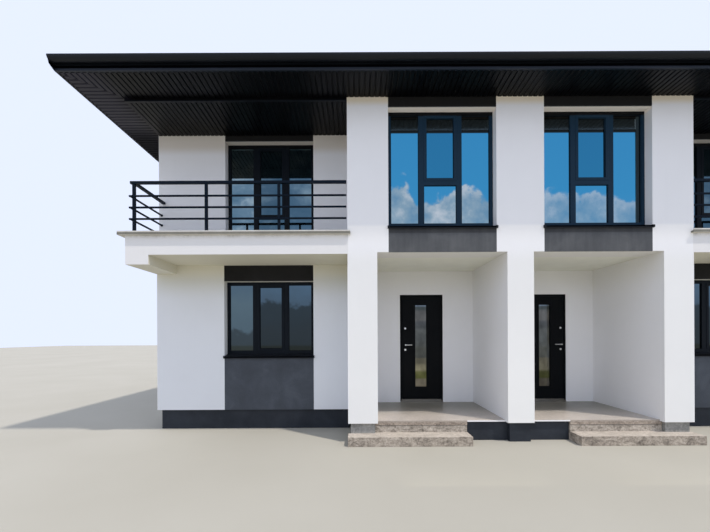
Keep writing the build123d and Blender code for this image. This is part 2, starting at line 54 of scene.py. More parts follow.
# Eaves and roof
PITCH = math.tan(math.radians(18))
SOFFIT = 5.280
FASCIA = 0.025
EAVE_X = 6.631
EAVE_Y = 5.266
BOARD = 0.078
BOARD_GAP = 0.003
BOARD_DEPTH = 0.012
BOARD_BEVEL = 0.010
GUTTER_RADIUS = 0.0625
TILE_ROW = 0.3292
TILE_WAVE = 0.183
CAP_LENGTH = 0.40

# Windows: levels, frame face, sash and mullion widths
LOW_WINDOW = (1.320, 2.614)
TALL_WINDOW = (3.340, 5.135)
SILL_BED = 0.060
FRAME_FACE = 0.052
SASH = 0.042
MULLION = 0.082
BAY_X0 = 3.273
BAY_WIDTH = 1.577

# Balconies: floor, ceiling, the painted shade band along the coping's edge, and the railing
BALCONY_FLOOR = 3.215
BALCONY_CEILING = 5.230
COPING_SHADE = (3.1870, 3.2245)
COPING_TOP = 3.243
RAIL_Y = FRONT + 0.084
RAIL_Z = (4.005, 4.043)
RAIL_HALF = 0.025
RAIL_INNER_END = PIER_OUTER + 0.016
CORNER_POST_X = HALF_WIDTH - 0.091
POSTS_X = (CORNER_POST_X, HALF_WIDTH - 1.209, HALF_WIDTH - 2.334)
POST_HALF = 0.0195
PLATE_HALF = 0.050
PLATE_TOP = BALCONY_FLOOR + 0.006
BOLT_OFFSET = 0.036
ROD_X = HALF_WIDTH - 0.048
ROD_Y = RAIL_Y - 0.029
ROD_RADIUS = 0.0155
ROD_LEVELS = (3.808, 3.631, 3.454)

# Entrance doors: x0, x1, z0, z1 on the right half
DOOR_FACE = FRONT + 1.655
DOOR_LEAF = (0.833, 1.609, 0.377, 2.412)
DOOR_PANE = (1.117, 1.348, 0.614, 2.247)
LOCK_X = 1.545
LOCK_LEVELS = (1.779, 1.355)

# Porches and steps: ends in x, then y0, y1, z0, z1 of each profile
STEP_X = (0.800, 2.2295)
NOSING = (-4.6095, -4.5895, 0.2455, 0.2955)
RISER_STONE = (-4.6035, -4.5890, 0.1375, 0.2385)
STONE_JOINTS = (1.496, 2.153)
PORCH_EDGE_X = (0.203, 0.799)
PORCH_EDGE = (-4.612, -4.609, 0.296, 0.3155)
TILE_SIZE = 0.60

nodes = frame["nodes"]


# Materials

class Surface:
    """A node material with object coordinates and a Principled shader."""

    def __init__(self, name, **values):
        self.name = name
        self.material = bpy.data.materials.new(name)
        self.material.use_nodes = True
        self.tree = self.material.node_tree
        self.shader = self.tree.nodes["Principled BSDF"]
        for key, value in values.items():
            self.shader.inputs[key.replace("_", " ")].default_value = value
        self.coords = self.tree.nodes.new("ShaderNodeTexCoord").outputs["Object"]

    def node(self, kind, links=(), **settings):
        made = self.tree.nodes.new("ShaderNode" + kind)
        for key, value in settings.items():
            if hasattr(made, key):
                setattr(made, key, value)
            else:
                made.inputs[key.replace("_", " ")].default_value = value
        for socket, source in links:
            self.tree.links.new(source, made.inputs[socket])
        return made

    def stretched(self, x, y, z):
        return self.node("Mapping", [("Vector", self.coords)], Scale=(x, y, z)).outputs[0]

    def noise(self, scale, detail=4.0, rough=0.55, coords=None, distortion=0.0):
        made = self.node("TexNoise", [("Vector", coords or self.coords)],
                         Scale=scale, Detail=detail, Roughness=rough, Distortion=distortion)
        return made.outputs["Fac"]

    def handling_marks(self):
        return self.noise(2.1, 6, 0.62)

    def ramp(self, fac, *stops):
        made = self.node("ValToRGB", [("Fac", fac)])
        elements = made.color_ramp.elements
        while len(elements) < len(stops):
            elements.new(0.5)
        for element, (place, color) in zip(elements, stops):
            element.position = place
            element.color = (color, color, color, 1) if isinstance(color, (int, float)) else (*color, 1)
        return made.outputs["Color"]

    def spread(self, fac, low, high):
        """From low to high over the range that a noise covers."""
        return self.ramp(fac, (0.3, low), (0.7, high))

    def math(self, operation, a, b=0.0, c=0.0):
        made = self.tree.nodes.new("ShaderNodeMath")
        made.operation = operation
        for socket, value in zip(made.inputs, (a, b, c)):
            if isinstance(value, (int, float)):
                socket.default_value = value
            else:
                self.tree.links.new(value, socket)
        return made.outputs[0]

    def mix(self, fac, a, b, blend="MIX"):
        made = self.tree.nodes.new("ShaderNodeMix")
        made.data_type = "RGBA"
        made.blend_type = blend
        for index, value in ((0, fac), (6, a), (7, b)):
            if isinstance(value, (int, float)):
                made.inputs[index].default_value = value
            elif isinstance(value, tuple):
                made.inputs[index].default_value = (*value, 1)
            else:
                self.tree.links.new(value, made.inputs[index])
        return made.outputs[2]

    def tinted(self, tone, where, tint):
        """The tone multiplied by the tint, where the factor says so."""
        return self.mix(where, tone, self.mix(1.0, tone, tint, "MULTIPLY"))

    def product(self, *factors):
        result = factors[0]
        for factor in factors[1:]:
            result = self.math("MULTIPLY", result, factor)
        return result

    def above(self, value, level):
        return self.math("GREATER_THAN", value, level)

    def below(self, value, level):
        return self.math("LESS_THAN", value, level)

    def within(self, value, low, high):
        """One where the value lies between low and high, else zero."""
        return self.math("MULTIPLY", self.above(value, low), self.below(value, high))

    def between(self, value, low, high):
        """How far a value has come from low to high, held to 0 and 1."""
        made = self.node("MapRange", interpolation_type="SMOOTHSTEP")
        made.inputs["From Min"].default_value = low
        made.inputs["From Max"].default_value = high
        self.tree.links.new(value, made.inputs["Value"])
        return made.outputs["Result"]

    def scaled(self, value, start, factor):
        """The value counted from the start and multiplied by the factor."""
        return self.math("MULTIPLY", self.math("SUBTRACT", value, start), factor)

    def inverse(self, value):
        return self.math("SUBTRACT", 1.0, value)

    def axis(self, name):
        return self.node("SeparateXYZ", [("Vector", self.coords)]).outputs[name]

    def off_centre(self, name):
        """Distance from the middle of the house along an axis."""
        return self.math("ABSOLUTE", self.axis(name))

    def facing_up(self):
        """One on level faces that look up, zero on upright ones."""
        normal = self.node("NewGeometry").outputs["Normal"]
        return self.node("SeparateXYZ", [("Vector", normal)]).outputs["Z"]

    def joints(self, value, spacing, low, high):
        """Thin lines across an axis, one at each multiple of the spacing."""
        share = self.math("FRACT", self.math("MULTIPLY", value, 1 / spacing))
        return self.between(self.math("ABSOLUTE", self.math("SUBTRACT", share, 0.5)), low, high)

    def link(self, socket, source):
        self.tree.links.new(source, self.shader.inputs[socket])

    def color(self, source):
        self.link("Base Color", source)

    def rough(self, fac, low, high):
        self.link("Roughness", self.spread(fac, low, high))

    def bump(self, height, distance, strength=0.6):
        made = self.node("Bump", [("Height", height)], Distance=distance, Strength=strength)
        self.link("Normal", made.outputs[0])

    def fine_grain(self, grain=420.0, depth=0.0002):
        self.bump(self.noise(grain, 3, 0.6), depth, 0.35)


def white_render():
    """Mineral render: fine grain, faint clouds, thin streaks of rain, painted warm shade under the ceilings,
    and a painted light band on the piers.
    """
    base, mottle = (0.86, 0.86, 0.865), 0.025
    s = Surface("white_render", Specular_IOR_Level=0.25)
    clouds = s.noise(1.4, 5, 0.6)
    streaks = s.noise(3.2, 3, 0.6, s.stretched(3.0, 3.0, 0.22))
    tone = s.spread(clouds, tuple(c * (1 - mottle) for c in base), base)
    worn = tuple(c * (1 - 2 * mottle) for c in base)
    tone = s.mix(s.ramp(streaks, (0.55, 0.0), (0.9, 0.35)), tone, worn)

    height = s.axis("Z")
    side = s.off_centre("X")
    front = s.below(s.axis("Y"), FRONT + 0.005)
    recess = s.product(s.inverse(front), s.below(s.axis("Y"), -3.0), s.below(side, HALF_WIDTH - 0.005))
    outside = s.above(side, PIER_OUTER - 0.01)
    inside = s.inverse(outside)

    # Bay and porch walls: painted shade, cooler and darker low on the bay walls under the balconies, and
    # painted warm shade towards the ceilings
    ground_floor = s.product(recess, s.below(height, UPPER_SLAB - 0.001))
    tone = s.tinted(tone, s.product(ground_floor, outside, s.between(height, 2.80, 2.60)), (0.90, 0.92, 0.94))
    under_balcony = s.math("MULTIPLY_ADD", outside, 0.65, 0.35)
    painted_shade_under_ceiling = s.product(ground_floor, s.between(height, 2.25, 2.88), under_balcony)
    tone = s.tinted(tone, painted_shade_under_ceiling, (0.83, 0.795, 0.64))
    # Painted warm shade at the top of the balcony walls and on the front under the soffit, painted warm
    # bounce light on the reveal heads
    tone = s.tinted(tone, s.product(recess, outside, s.between(height, 4.86, 5.06)), (0.84, 0.78, 0.69))
    tone = s.tinted(tone, s.product(front, s.between(height, 5.13, 5.24)), (0.98, 0.88, 0.70))
    tone = s.tinted(tone, s.product(recess, inside, s.above(height, 5.09)), (1.12, 1.05, 0.96))

    # Balcony edge beams and piers: the beams a little darker, the piers darker low down, and a painted light
    # band on the piers where the shade of the eaves ends
    apron = s.product(outside, front, s.within(height, 2.70, 3.186))
    tone = s.tinted(tone, apron, (0.91, 0.90, 0.88))
    tone = s.tinted(tone, s.product(front, inside, s.between(height, 3.05, 2.70)), (0.95, 0.95, 0.925))
    band = s.product(front, inside, s.between(height, 2.95, 3.27), s.between(height, 3.35, 3.29))
    tone = s.tinted(tone, band, (1.14, 1.12, 1.08))
    # Darker streaky patches just under the coping: partly rain stains, partly painted shade of its nose
    drips = s.ramp(s.noise(5.0, 5, 0.7, s.stretched(1.0, 1.0, 0.5)), (0.46, 0.0), (0.66, 0.55))
    s.color(s.mix(s.product(apron, s.between(height, 3.12, 3.185), drips), tone, (0.42, 0.40, 0.36)))
    fine = s.noise(240.0, 6, 0.7)
    s.rough(fine, 0.78, 0.95)
    s.bump(fine, 0.0016, 0.45)
    return s


def painted(name, base, rough, spread=0.06, grain=420.0, depth=0.0002, **values):
    """A factory coat: even colour with a fine grain and faint handling marks."""
    s = Surface(name, **values)
    marks = s.handling_marks()
    s.color(s.spread(marks, tuple(c * (1 - spread) for c in base), tuple(c * (1 + spread) for c in base)))
    s.rough(marks, rough * 0.85, min(1.0, rough * 1.2))
    s.fine_grain(grain, depth)
    return s


def dark_render():
    """Dark render of the window strips: trowelled and streaked, almost black over the windows, with painted
    shade in a strip under the sills.
    """
    s = Surface("dark_render", Specular_IOR_Level=0.3)
    trowel = s.noise(2.3, 7, 0.62, distortion=0.5)
    runs = s.noise(5.5, 5, 0.6, s.stretched(2.2, 2.2, 0.35))
    fine = s.noise(90.0, 6, 0.7)
    middle = (0.078, 0.083, 0.089)
    tone = s.ramp(trowel, (0.3, (0.048, 0.052, 0.058)), (0.5, middle), (0.7, (0.125, 0.130, 0.136)))
    height = s.axis("Z")
    low = s.below(height, 1.30)
    tone = s.mix(s.math("MULTIPLY", low, 0.12), tone, middle)
    tone = s.mix(s.math("MULTIPLY_ADD", low, -0.24, 0.32), tone,
                 s.ramp(runs, (0.32, (0.046, 0.050, 0.056)), (0.68, (0.135, 0.139, 0.144))))
    tone = s.mix(0.2, tone, s.spread(fine, (0.05, 0.052, 0.056), (0.13, 0.133, 0.138)))
    tone = s.tinted(tone, low, (0.76, 0.83, 0.94))
    # Painted shade of the sills, darker in a strip just under them
    painted_sill_shade = s.math("MULTIPLY", s.between(height, 3.19, 3.215), s.below(height, 3.29))
    tone = s.tinted(tone, painted_sill_shade, (0.52, 0.52, 0.52))
    head = s.math("MAXIMUM", s.within(height, LOW_WINDOW[1], 2.89), s.above(height, TALL_WINDOW[1]))
    s.color(s.mix(head, tone, s.mix(0.2, (0.0075, 0.0072, 0.0062), tone, "MULTIPLY")))
    s.rough(trowel, 0.62, 0.85)
    s.bump(s.math("ADD", s.math("MULTIPLY", trowel, 0.7), s.math("MULTIPLY", fine, 0.3)), 0.004, 0.5)
    return s


def slate_plinth():
    s = Surface("slate_plinth", Specular_IOR_Level=0.35)
    s.color(s.spread(s.noise(3.0, 6, 0.6), (0.010, 0.014, 0.021), (0.024, 0.030, 0.040)))
    fine = s.noise(130.0, 5, 0.65)
    s.rough(fine, 0.55, 0.8)
    s.bump(fine, 0.0018, 0.5)
    return s


def concrete():
    s = Surface("concrete", Specular_IOR_Level=0.3)
    cast = s.noise(4.5, 8, 0.65)
    pores = s.noise(34.0, 6, 0.7)
    s.color(s.mix(0.35, s.ramp(cast, (0.36, (0.17, 0.17, 0.16)), (0.64, (0.37, 0.365, 0.34))),
                  s.ramp(pores, (0.38, (0.13, 0.13, 0.12)), (0.6, (0.39, 0.385, 0.36)))))
    s.rough(cast, 0.75, 0.95)
    s.bump(pores, 0.002, 0.5)
    return s


def floor_concrete():
    """Floor slabs: grey concrete, white render under the porches."""
    s = Surface("floor_concrete", Specular_IOR_Level=0.25)
    cast = s.noise(3.0, 6, 0.6)
    s.color(s.mix(s.below(s.axis("Z"), UPPER_SLAB), s.spread(cast, (0.37, 0.37, 0.35), (0.46, 0.46, 0.44)),
                  s.spread(cast, (0.80, 0.80, 0.70), (0.86, 0.86, 0.75))))
    fine = s.noise(90.0, 5, 0.65)
    s.rough(fine, 0.75, 0.92)
    s.bump(fine, 0.001, 0.4)
    return s


def step_stone():
    """Steps: split stone on the risers, a finer flamed face on the treads, joints across the treads."""
    s = Surface("step_stone", Specular_IOR_Level=0.3)
    veins = s.noise(7.0, 8, 0.68, s.stretched(1.0, 1.0, 1.6), 1.2)
    fine = s.noise(36.0, 7, 0.75)
    flat = s.above(s.facing_up(), 0.7)
    split = s.ramp(veins, (0.36, (0.10, 0.084, 0.066)), (0.5, (0.37, 0.325, 0.27)),
                   (0.64, (0.62, 0.56, 0.475)))
    riser = s.mix(0.4, split, s.ramp(fine, (0.38, (0.09, 0.076, 0.060)), (0.60, (0.60, 0.54, 0.46))))
    height = s.axis("Z")
    riser = s.tinted(riser, s.below(height, 0.136), (0.93, 0.91, 0.90))
    riser = s.tinted(riser, s.above(height, 0.242), (0.886, 0.84, 0.816))
    tread = s.mix(0.3, s.ramp(veins, (0.36, (0.36, 0.315, 0.26)), (0.64, (0.60, 0.535, 0.455))),
                  s.ramp(fine, (0.38, (0.27, 0.235, 0.195)), (0.60, (0.65, 0.59, 0.525))))
    across = s.math("SUBTRACT", s.off_centre("X"), STONE_JOINTS[0])
    joint = s.joints(across, STONE_JOINTS[1] - STONE_JOINTS[0], 0.490, 0.497)
    s.color(s.mix(s.product(joint, flat, 0.22), s.mix(flat, riser, tread), (0.09, 0.08, 0.07)))
    s.rough(fine, 0.7, 0.92)
    s.bump(s.math("ADD", s.math("MULTIPLY", veins, 0.6), s.math("MULTIPLY", fine, 0.4)), 0.006, 0.6)
    return s


def porch_tile():
    """Stone tiles with painted shade in the depth of the porch, and fine joints both ways."""
    s = Surface("porch_tile", Specular_IOR_Level=0.4)
    clouds = s.noise(3.4, 7, 0.62)
    fine = s.noise(52.0, 6, 0.75)
    tone = s.mix(0.4, s.spread(clouds, (0.455, 0.400, 0.345), (0.615, 0.540, 0.465)),
                 s.ramp(fine, (0.38, (0.26, 0.235, 0.205)), (0.60, (0.62, 0.565, 0.505))))
    # Painted shade, darker towards the back of the porch
    tone = s.tinted(tone, s.between(s.axis("Y"), -4.45, -3.4), (0.47, 0.495, 0.465))
    tone = s.tinted(tone, s.below(s.facing_up(), 0.5), (0.72, 0.70, 0.68))
    joint = s.math("MAXIMUM", s.joints(s.axis("X"), TILE_SIZE, 0.491, 0.496),
                   s.joints(s.axis("Y"), TILE_SIZE, 0.491, 0.496))
    s.color(s.mix(s.math("MULTIPLY", joint, 0.14), tone, (0.16, 0.15, 0.13)))
    s.rough(clouds, 0.28, 0.42)
    s.bump(s.noise(160.0, 4, 0.6), 0.0004, 0.3)
    return s


def balcony_coping():
    """Weathered stone with rain streaks, painted light on top and under the nose, and a painted shade band
    along the edge.
    """
    s = Surface("balcony_coping", Specular_IOR_Level=0.35)
    clouds = s.noise(2.2, 7, 0.66)
    streaks = s.noise(9.0, 4, 0.6, s.stretched(1.0, 1.0, 0.1))
    stone = s.spread(clouds, (0.44, 0.43, 0.39), (0.62, 0.61, 0.57))
    tone = s.mix(s.ramp(streaks, (0.5, 0.0), (0.8, 0.4)), stone, (0.30, 0.29, 0.26))
    height = s.axis("Z")
    # Painted light: paler on top of the edge and under its nose
    tone = s.tinted(tone, s.above(height, COPING_SHADE[1]), (1.22, 1.21, 1.20))
    tone = s.tinted(tone, s.below(height, COPING_SHADE[0]), (1.10, 1.06, 0.98))
    # Painted shade: a dark band along the face of the edge
    shade = s.product(s.within(height, *COPING_SHADE), s.below(s.facing_up(), 0.5))
    s.color(s.tinted(tone, shade, (0.38, 0.37, 0.33)))
    s.rough(clouds, 0.55, 0.8)
    s.bump(s.noise(120.0, 5, 0.6), 0.001, 0.4)
    return s


def soffit_board():
    """Soffit boards: near black in the middle, with painted sky light making them paler on the side eaves
    towards the corners, which the open sky reaches.
    """
    s = Surface("soffit_board", Specular_IOR_Level=0.16)
    marks = s.handling_marks()
    # Painted sky light on the side eaves, strongest towards the corners
    far_out = s.between(s.off_centre("X"), 5.85, 6.35)
    corner = s.between(s.off_centre("Y"), 3.5, 4.1)
    painted_sky_light = s.product(far_out, s.math("MULTIPLY_ADD", corner, 0.8, 0.2))
    s.color(s.mix(painted_sky_light, s.spread(marks, (0.0010, 0.0012, 0.0018), (0.0016, 0.0018, 0.0025)),
                  s.spread(marks, (0.0200, 0.0195, 0.0320), (0.0240, 0.0230, 0.0380))))
    dull = s.product(far_out, s.inverse(corner))
    s.link("Roughness", s.mix(dull, s.spread(marks, 0.32, 0.42), (0.85, 0.85, 0.85)))
    s.fine_grain()
    return s


def eave_metal():
    """Eave metal: painted light on the fascia's lower lip, and painted black shade under the gutter."""
    lip_height, shade_height = 0.034, 0.070
    s = Surface("eave_metal")
    marks = s.handling_marks()
    height = s.math("SUBTRACT", s.axis("Z"), SOFFIT)
    # Painted light on the fascia's lower lip, painted shade in the band under the gutter
    lip = s.product(s.below(height, lip_height), s.above(s.off_centre("Y"), EAVE_Y - 0.045))
    shade = s.within(height, lip_height, shade_height)
    coat = s.spread(marks, (0.0052, 0.0070, 0.0105), (0.0068, 0.0090, 0.0130))
    coat = s.mix(lip, coat, s.spread(marks, (0.014, 0.019, 0.029), (0.018, 0.024, 0.036)))
    s.color(s.mix(shade, coat, (0.0006, 0.0007, 0.0012)))
    s.link("Specular IOR Level", s.math("MULTIPLY_ADD", shade, -0.20, 0.22))
    s.rough(marks, 0.36, 0.5)
    s.fine_grain()
    return s


def frame_anthracite():
    """Window frames: the tall middle ones are bluer than those beside them, with painted shade of the eaves
    darkening their heads.
    """
    s = Surface("frame_anthracite", Specular_IOR_Level=0.13)
    marks = s.handling_marks()
    outer = s.math("MAXIMUM", s.above(s.off_centre("X"), 3.0), s.above(s.axis("Y"), 0.0))
    tone = s.mix(outer, s.spread(marks, (0.0068, 0.0250, 0.0470), (0.0082, 0.0290, 0.0550)),
                 s.spread(marks, (0.0022, 0.0048, 0.0085), (0.0032, 0.0066, 0.0115)))
    # Painted shade of the eaves on the frame heads
    s.color(s.mix(s.above(s.axis("Z"), 5.078), tone, (0.0016, 0.0022, 0.0030)))
    s.rough(marks, 0.45, 0.58)
    s.fine_grain(600.0)
    return s


def door_steel():
    """Brushed steel, dull and dark on the thresholds."""
    s = Surface("door_steel", Metallic=1.0)
    brushed = s.noise(60.0, 4, 0.6, s.stretched(1.0, 1.0, 24.0))
    threshold = s.below(s.axis("Z"), 0.38)
    s.color(s.mix(threshold, s.spread(brushed, (0.56, 0.56, 0.55), (0.78, 0.78, 0.77)),
                  s.spread(brushed, (0.16, 0.15, 0.13), (0.26, 0.245, 0.22))))
    s.rough(brushed, 0.22, 0.38)
    s.bump(brushed, 0.0001, 0.3)
    return s


def attic_timber():
    s = Surface("attic_timber", Specular_IOR_Level=0.3)
    grain = s.noise(5.0, 8, 0.6, s.stretched(1.0, 9.0, 9.0), 0.6)
    s.color(s.spread(grain, (0.38, 0.26, 0.15), (0.62, 0.46, 0.30)))
    s.rough(grain, 0.65, 0.85)
    s.bump(grain, 0.001, 0.4)
    return s


def cloudy_sky(s, height, side, middle):
    """Painted reflection of a blue sky, darker in the opening sashes, with soft cloud banks above the sills.
    """
    over_sill = s.math("SUBTRACT", height, 3.3)
    across = s.math("MULTIPLY_ADD", s.axis("X"), 1 / 4.2, 0.5)
    sky = s.ramp(s.math("MULTIPLY", over_sill, 0.6), (0.0, (0.069, 0.294, 0.478)),
                 (0.35, (0.047, 0.276, 0.465)), (1.0, (0.045, 0.258, 0.448)))
    from_sash = s.math("ABSOLUTE", s.math("SUBTRACT", side, 1.190))
    sash = s.math("MULTIPLY", s.below(from_sash, 0.258), s.above(height, 4.03))
    sky = s.tinted(sky, s.math("MULTIPLY", sash, middle), (0.60, 0.68, 0.71))
    bank = s.ramp(across, (0.03, 0.82), (0.09, 0.77), (0.13, 0.47), (0.20, 0.50), (0.27, 0.66), (0.40, 0.64),
                  (0.60, 0.50), (0.72, 0.58), (0.84, 0.52), (0.95, 0.42))
    billows = s.noise(3.0, 6, 0.55, distortion=0.2)
    depth = s.math("SUBTRACT", s.math("ADD", bank, s.scaled(billows, 0.5, 0.9)), over_sill)
    cover = s.math("MULTIPLY", s.between(depth, -0.02, 0.10), s.ramp(across, (0.46, 0.94), (0.56, 0.66)))
    white = s.ramp(s.noise(3.6, 5, 0.55), (0.32, (0.165, 0.292, 0.365)), (0.52, (0.285, 0.385, 0.410)),
                   (0.72, (0.580, 0.600, 0.560)))
    crest = s.math("MULTIPLY", s.between(depth, 0.26, 0.05), s.ramp(billows, (0.42, 0.0), (0.6, 0.75)))
    return s.mix(cover, sky, s.mix(crest, white, (0.585, 0.605, 0.565)))


def veiled_sky(s, side):
    """The balcony doors: a painted reflection of dim sky behind a veil of cloud, a shade apart from pane to
    pane.
    """
    veil = s.ramp(s.noise(1.7, 7, 0.6, s.stretched(1.0, 1.0, 1.6), 0.3),
                  (0.34, (0.052, 0.112, 0.158)), (0.5, (0.078, 0.145, 0.195)), (0.68, (0.200, 0.290, 0.325)))
    panes = s.ramp(s.scaled(side, 3.2, 0.6), (0.32, 0.90), (0.36, 0.76), (0.68, 0.76), (0.72, 1.0))
    veil = s.mix(1.0, veil, panes, "MULTIPLY")
    return s.tinted(veil, s.above(side, 4.36), (1.75, 1.50, 1.35))


def dim_garden(s, height, side):
    """The ground floor: a painted reflection of dark shrubs under a dim sky, paler in the outer pane."""
    shapes = s.noise(2.6, 6, 0.6, s.stretched(1.0, 1.0, 1.4))
    level = s.math("ADD", s.scaled(height, 1.35, 0.8), s.scaled(shapes, 0.5, 0.5))
    dark = s.ramp(level, (0.0, (0.030, 0.038, 0.038)), (0.30, (0.034, 0.042, 0.043)),
                  (0.36, (0.033, 0.042, 0.044)), (0.64, (0.035, 0.047, 0.051)),
                  (0.70, (0.072, 0.108, 0.132)), (1.0, (0.082, 0.132, 0.168)))
    pale = s.ramp(level, (0.0, (0.048, 0.060, 0.060)), (0.28, (0.052, 0.066, 0.068)),
                  (0.34, (0.092, 0.130, 0.140)), (0.70, (0.105, 0.150, 0.160)), (1.0, (0.085, 0.130, 0.155)))
    return s.mix(s.above(side, 4.33), dark, pale)


def window_glass():
    """Glass with a mirror-like face and painted reflections: sky and clouds above, a dim garden on the ground
    floor.
    """
    s = Surface("window_glass", Metallic=1.0)
    height = s.axis("Z")
    side = s.off_centre("X")
    street = s.below(s.axis("Y"), -3.0)
    middle = s.math("MULTIPLY", street, s.below(side, 2.1))
    # Painted reflection of the eaves: dark across the top of the middle windows, with a grey stripe in it
    band = s.ramp(s.scaled(height, 4.7, 2.0), (0.32, (0.015, 0.017, 0.016)), (0.36, (0.27, 0.36, 0.40)),
                  (0.64, (0.27, 0.36, 0.40)), (0.67, (0.02, 0.02, 0.02)))
    eave_reflection = s.math("MULTIPLY", s.between(height, 4.810, 4.828), middle)
    s.link("Roughness", s.math("MULTIPLY_ADD", eave_reflection, 0.06, 0.035))
    aloft = s.mix(eave_reflection, cloudy_sky(s, height, side, middle), band)
    # Painted reflection: a dark strip along the right edge of the right middle window
    edge = s.math("MULTIPLY", s.above(s.axis("X"), 1.895), middle)
    aloft = s.mix(edge, aloft, (0.06, 0.085, 0.10))
    balcony = s.math("MULTIPLY", street, s.above(side, 3.2))
    aloft = s.mix(balcony, aloft, veiled_sky(s, side))
    s.color(s.mix(s.above(height, 2.9), dim_garden(s, height, side), aloft))
    return s


def door_glass():
    """The door's narrow pane: painted reflections of paving, grass, a pale wall, shade and a strip of sky,
    one above another.
    """
    s = Surface("door_glass", Metallic=1.0, Roughness=0.06)
    low, high = DOOR_PANE[2:]
    bands = s.ramp(
        s.scaled(s.axis("Z"), low, 1 / (high - low)),
        (0.0, (0.105, 0.098, 0.086)), (0.09, (0.100, 0.094, 0.082)), (0.11, (0.066, 0.074, 0.030)),
        (0.18, (0.080, 0.086, 0.042)), (0.21, (0.165, 0.160, 0.122)), (0.345, (0.165, 0.160, 0.130)),
        (0.36, (0.105, 0.115, 0.115)), (0.50, (0.110, 0.118, 0.112)), (0.53, (0.098, 0.100, 0.086)),
        (0.69, (0.105, 0.106, 0.090)), (0.73, (0.070, 0.072, 0.064)), (0.79, (0.085, 0.086, 0.080)),
        (0.82, (0.140, 0.132, 0.112)), (0.92, (0.130, 0.125, 0.108)), (0.95, (0.070, 0.080, 0.070)),
        (0.975, (0.075, 0.085, 0.078)), (0.99, (0.165, 0.200, 0.215)),
    )
    patches = s.ramp(s.noise(7.0, 5, 0.6, s.stretched(1.0, 1.0, 0.6)), (0.35, 0.70), (0.65, 1.15))
    s.color(s.mix(1.0, bands, patches, "MULTIPLY"))
    return s


def make_materials():
    """One finish for each slot, by the slot's name."""
    surfaces = [
        white_render(), dark_render(), slate_plinth(), concrete(), floor_concrete(), step_stone(),
        porch_tile(), balcony_coping(), soffit_board(), eave_metal(), frame_anthracite(), door_steel(),
        attic_timber(), window_glass(), door_glass(),
        painted("roof_metal", (0.014, 0.015, 0.017), 0.5, 0.12, 300.0, 0.0004, Specular_IOR_Level=0.15),
        painted("sill_metal", (0.011, 0.013, 0.017), 0.45, 0.08, Specular_IOR_Level=0.15),
        painted("railing_paint", (0.0056, 0.0115, 0.0210), 0.5, 0.1, Specular_IOR_Level=0.07),
        painted("door_paint", (0.0028, 0.0036, 0.0046), 0.5, 0.15, 700.0, 0.0003, Specular_IOR_Level=0.08),
    ]
    return {surface.name: surface.material for surface in surfaces}


materials = make_materials()
for row in frame["record"]["subparts"]:
    for slot in nodes[row["node"]].material_slots:
        slot.material = materials[row["material_slot"]]


# Mesh helpers

def piece(name, bm, slot, body="house"):
    """Makes an object of a bmesh, gives it its finish and lets it ride on a body."""
    bmesh.ops.recalc_face_normals(bm, faces=bm.faces)
    mesh = bpy.data.meshes.new(name)
    bm.to_mesh(mesh)
    bm.free()
    made = bpy.data.objects.new(name, mesh)
    bpy.context.scene.collection.objects.link(made)
    mesh.materials.append(materials[slot])
    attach(made, body)
    return made


def mirrored(sign, a, b):
    """A span of the right half, or of the left one, with its lower end first."""
    return sorted((sign * a, sign * b))


def skin(bm, loops, closed_ends=True):
    """Joins loops of equal length one after another."""
    rows = [[bm.verts.new(p) for p in loop] for loop in loops]
    count = len(rows[0])
    for below, above in zip(rows, rows[1:]):
        for i in range(count):
            j = (i + 1) % count
            bm.faces.new((below[i], below[j], above[j], above[i]))
    if closed_ends:
        bm.faces.new(rows[0][::-1])
        bm.faces.new(rows[-1])


def prism(bm, plan, z0, z1):
    """An upright solid on a plan of x and y points."""
    skin(bm, [[(x, y, z) for x, y in plan] for z in (z0, z1)])


def box(bm, x0, x1, y0, y1, z0, z1, chamfer=0.0):
    """A box, with its vertical and upper edges cut back by the chamfer."""
    c = chamfer
    if not c:
        prism(bm, [(x0, y0), (x1, y0), (x1, y1), (x0, y1)], z0, z1)
        return
    wide = [(x0 + c, y0), (x1 - c, y0), (x1, y0 + c), (x1, y1 - c),
            (x1 - c, y1), (x0 + c, y1), (x0, y1 - c), (x0, y0 + c)]
    mx, my = (x0 + x1) / 2, (y0 + y1) / 2
    kx, ky = 1 - 2 * c / (x1 - x0), 1 - 2 * c / (y1 - y0)
    near = [(mx + (x - mx) * kx, my + (y - my) * ky) for x, y in wide]
    levels = ((wide, z0), (wide, z1 - c), (near, z1))
    skin(bm, [[(x, y, z) for x, y in plan] for plan, z in levels])


def tube(bm, start, end, radius, sides=16):
    """A round bar between two points."""
    start, end = Vector(start), Vector(end)
    turn = (end - start).to_track_quat("Z", "Y")
    loops = []
    for centre in (start, end):
        loops.append([
            centre + turn @ Vector((radius * math.cos(a), radius * math.sin(a), 0))
            for a in (2 * math.pi * i / sides for i in range(sides))
        ])
    skin(bm, loops)


# Eaves

SIDES = [
    # outer half length, inner half length, wall offset, eave offset, along to X and Y
    (EAVE_X, HALF_WIDTH, -FRONT, EAVE_Y, lambda u, v: (u, -v)),
    (EAVE_Y, BACK, HALF_WIDTH, EAVE_X, lambda u, v: (v, u)),
    (EAVE_X, HALF_WIDTH, BACK, EAVE_Y, lambda u, v: (-u, v)),
    (EAVE_Y, BACK, HALF_WIDTH, EAVE_X, lambda u, v: (-v, -u)),
]


def board(bm, corners, across, z0):
    """A soffit board with bevelled lower edges; across is its width direction."""
    narrow = []
    centre = sum(Vector(c).dot(across) for c in corners) / len(corners)
    for x, y in corners:
        side = -1 if Vector((x, y)).dot(across) > centre else 1
        narrow.append((x + across[0] * side * BOARD_BEVEL, y + across[1] * side * BOARD_BEVEL))
    levels = ((narrow, z0), (corners, z0 + BOARD_BEVEL), (corners, z0 + BOARD_DEPTH))
    skin(bm, [[(x, y, z) for x, y in plan] for plan, z in levels])


def board_spans(start, end):
    """Ends of the boards that share a run, a gap apart from each other."""
    count = round((end - start) / BOARD)
    step = (end - start) / count
    return [(start + i * step + BOARD_GAP, start + (i + 1) * step - BOARD_GAP) for i in range(count)]


